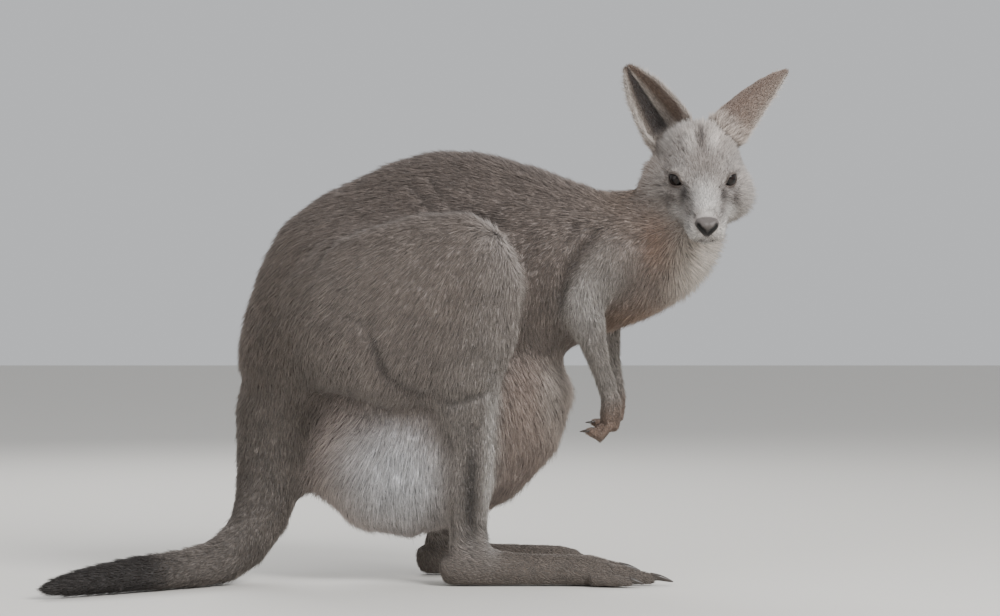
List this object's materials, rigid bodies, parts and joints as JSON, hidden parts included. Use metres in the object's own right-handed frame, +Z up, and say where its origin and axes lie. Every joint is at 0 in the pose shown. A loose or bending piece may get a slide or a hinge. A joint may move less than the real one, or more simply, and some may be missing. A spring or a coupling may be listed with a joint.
{
  "type": "kangaroo",
  "caption": "Life-size adult female eastern grey kangaroo with a full pouch, crouched on its hind feet and tail, head turned to its right; a still display model.",
  "frame": {"origin": "on the ground, at the middle of the model's footprint in plan", "axes": "+Z up, +X the way the body faces, +Y the animal's left; the head looks towards -Y"},
  "size_m": [1.0433, 0.4636, 0.7482],
  "materials": {
    "back_coat": "grizzled grey-brown fur",
    "face_coat": "short silver-grey fur",
    "pouch_coat": "long pinkish-buff fur",
    "limb_coat": "short grey fur",
    "tail_tip_coat": "blackish fur",
    "nose_skin": "bare pebbled skin",
    "claw_horn": "dark polished horn",
    "eye_surface": "wet dark-brown eye"
  },
  "bodies": {
    "root": {"claw_2_left": "claw_horn", "claw_2_right": "claw_horn", "claw_3_left": "claw_horn", "claw_3_right": "claw_horn", "claw_4_left": "claw_horn", "claw_4_right": "claw_horn", "claw_5_left": "claw_horn", "claw_5_right": "claw_horn", "ear_left": "face_coat", "ear_right": "face_coat", "eye_left": "eye_surface", "eye_right": "eye_surface", "finger_claw_1_left": "claw_horn", "finger_claw_1_right": "claw_horn", "finger_claw_2_left": "claw_horn", "finger_claw_2_right": "claw_horn", "finger_claw_3_left": "claw_horn", "finger_claw_3_right": "claw_horn", "finger_claw_4_left": "claw_horn", "finger_claw_4_right": "claw_horn", "finger_claw_5_left": "claw_horn", "finger_claw_5_right": "claw_horn", "foot_left": "limb_coat", "foot_right": "limb_coat", "forearm_left": "limb_coat", "forearm_right": "limb_coat", "hand_left": "limb_coat", "hand_right": "limb_coat", "head": "face_coat", "neck": "back_coat", "nose_pad": "nose_skin", "pouch": "pouch_coat", "shank_left": "limb_coat", "shank_right": "limb_coat", "tail_base": "back_coat", "tail_middle": "back_coat", "tail_tip": "tail_tip_coat", "thigh_left": "limb_coat", "thigh_right": "limb_coat", "toe_4_left": "limb_coat", "toe_4_right": "limb_coat", "toe_5_left": "limb_coat", "toe_5_right": "limb_coat", "toes_2_3_left": "limb_coat", "toes_2_3_right": "limb_coat", "trunk": "back_coat", "upper_arm_left": "limb_coat", "upper_arm_right": "limb_coat"}
  },
  "joints": []
}
